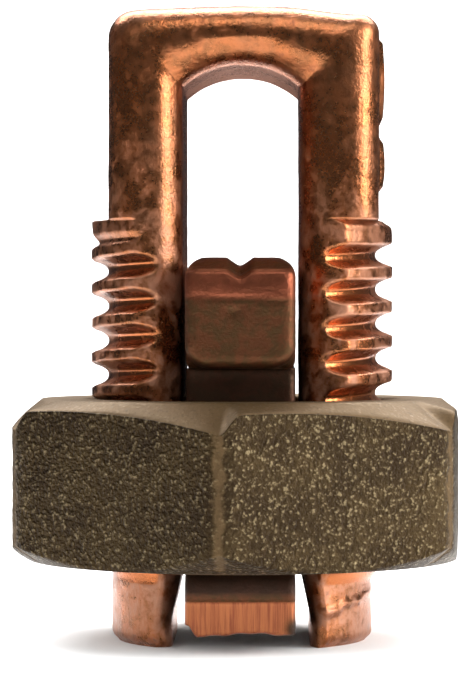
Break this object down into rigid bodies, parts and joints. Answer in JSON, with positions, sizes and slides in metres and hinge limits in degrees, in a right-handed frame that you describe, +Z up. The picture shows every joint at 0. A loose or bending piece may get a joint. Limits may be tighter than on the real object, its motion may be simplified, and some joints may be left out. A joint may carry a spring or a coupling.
{
  "type": "split bolt connector",
  "caption": "Copper split bolt with a conductor slot, a pressure bar and a bronze hex nut that clamps wires side by side.",
  "frame": {"origin": "midway between the two leg ends, on the thread's axis, in the plane the legs stand on", "axes": "+Z up the legs to the bow along the thread's axis, +X across the two legs, conductors lie along Y"},
  "size_m": [0.0164, 0.018, 0.0231],
  "materials": {
    "forged_copper": "forged copper, worn bright on the edges",
    "cast_bronze": "as-cast bronze with a machined chamfer",
    "bar_copper": "oxidised copper with a sheared end"
  },
  "bodies": {
    "bolt": {"split_bolt": "forged_copper"},
    "bar": {"pressure_bar": "bar_copper"},
    "nut": {"hex_nut": "cast_bronze"}
  },
  "joints": [
    {"name": "bar_slide", "type": "slide", "parent": "bolt", "child": "bar", "axis": [0, 0, 1], "range_m": [-0.00699, 0.00572]},
    {"name": "nut_spin", "type": "hinge", "parent": "bar", "child": "nut", "pos_m": [0, 0, 0.006], "axis": [0, 0, 1], "range_deg": [-1980, 1620]}
  ],
  "couplings": [
    {"joint": "bar_slide", "follows": "nut_spin", "m_per_rad": 0.00020213}
  ]
}
